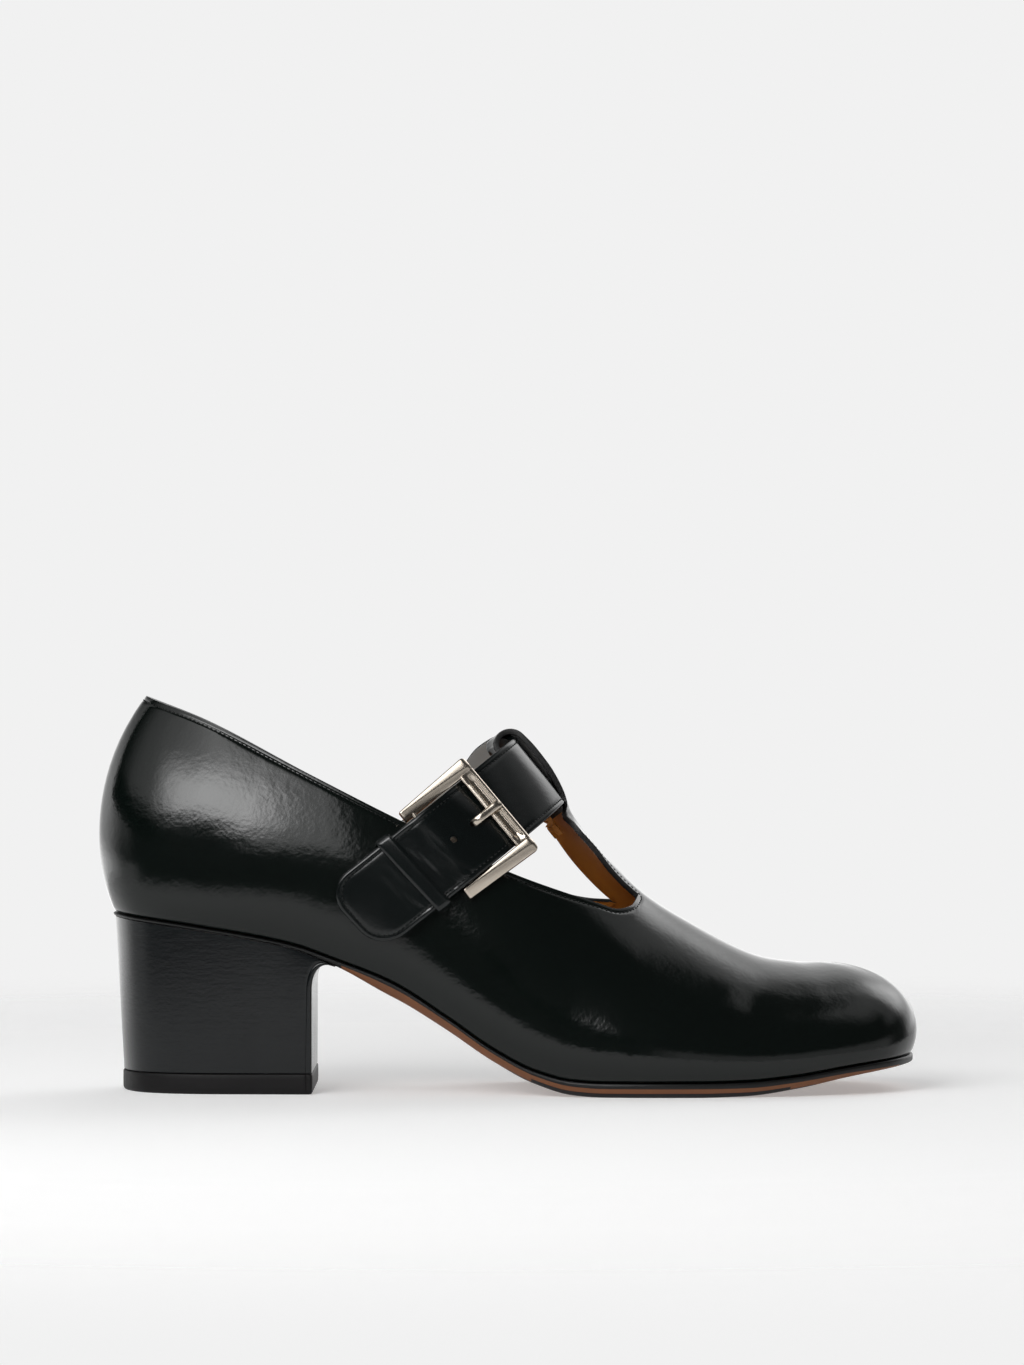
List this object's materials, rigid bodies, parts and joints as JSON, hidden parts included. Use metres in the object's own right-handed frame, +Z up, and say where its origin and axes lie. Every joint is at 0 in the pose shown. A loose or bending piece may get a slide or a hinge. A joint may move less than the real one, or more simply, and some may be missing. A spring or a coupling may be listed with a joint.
{
  "type": "mid heel shoe",
  "caption": "Women's right T-strap shoe in smooth dark leather with a covered block heel, an ankle strap through the T-bar's loop and a metal buckle.",
  "frame": {"origin": "on the floor, under the middle of the shoe's length and width", "axes": "+X from heel to toe, +Y to the inner side of the foot, +Z up"},
  "size_m": [0.2448, 0.0833, 0.1174],
  "materials": {
    "polished_leather": "polished smooth calf, deep bottle green, nearly black",
    "strap_leather": "polished smooth calf, the same green",
    "heel_cover_leather": "polished smooth calf over the heel block",
    "sole_leather": "tan sole leather, edge inked black above",
    "lining_leather": "tan lining leather, matt",
    "lift_rubber": "black rubber, matt",
    "nickel": "polished warm nickel"
  },
  "bodies": {
    "root": {"upper": "polished_leather", "outsole": "sole_leather", "insole": "lining_leather", "heel": "heel_cover_leather", "top_lift": "lift_rubber", "ankle_strap": "strap_leather", "keeper": "strap_leather", "buckle_frame": "nickel", "buckle_prong": "nickel", "buckle_tab": "strap_leather"}
  },
  "joints": []
}
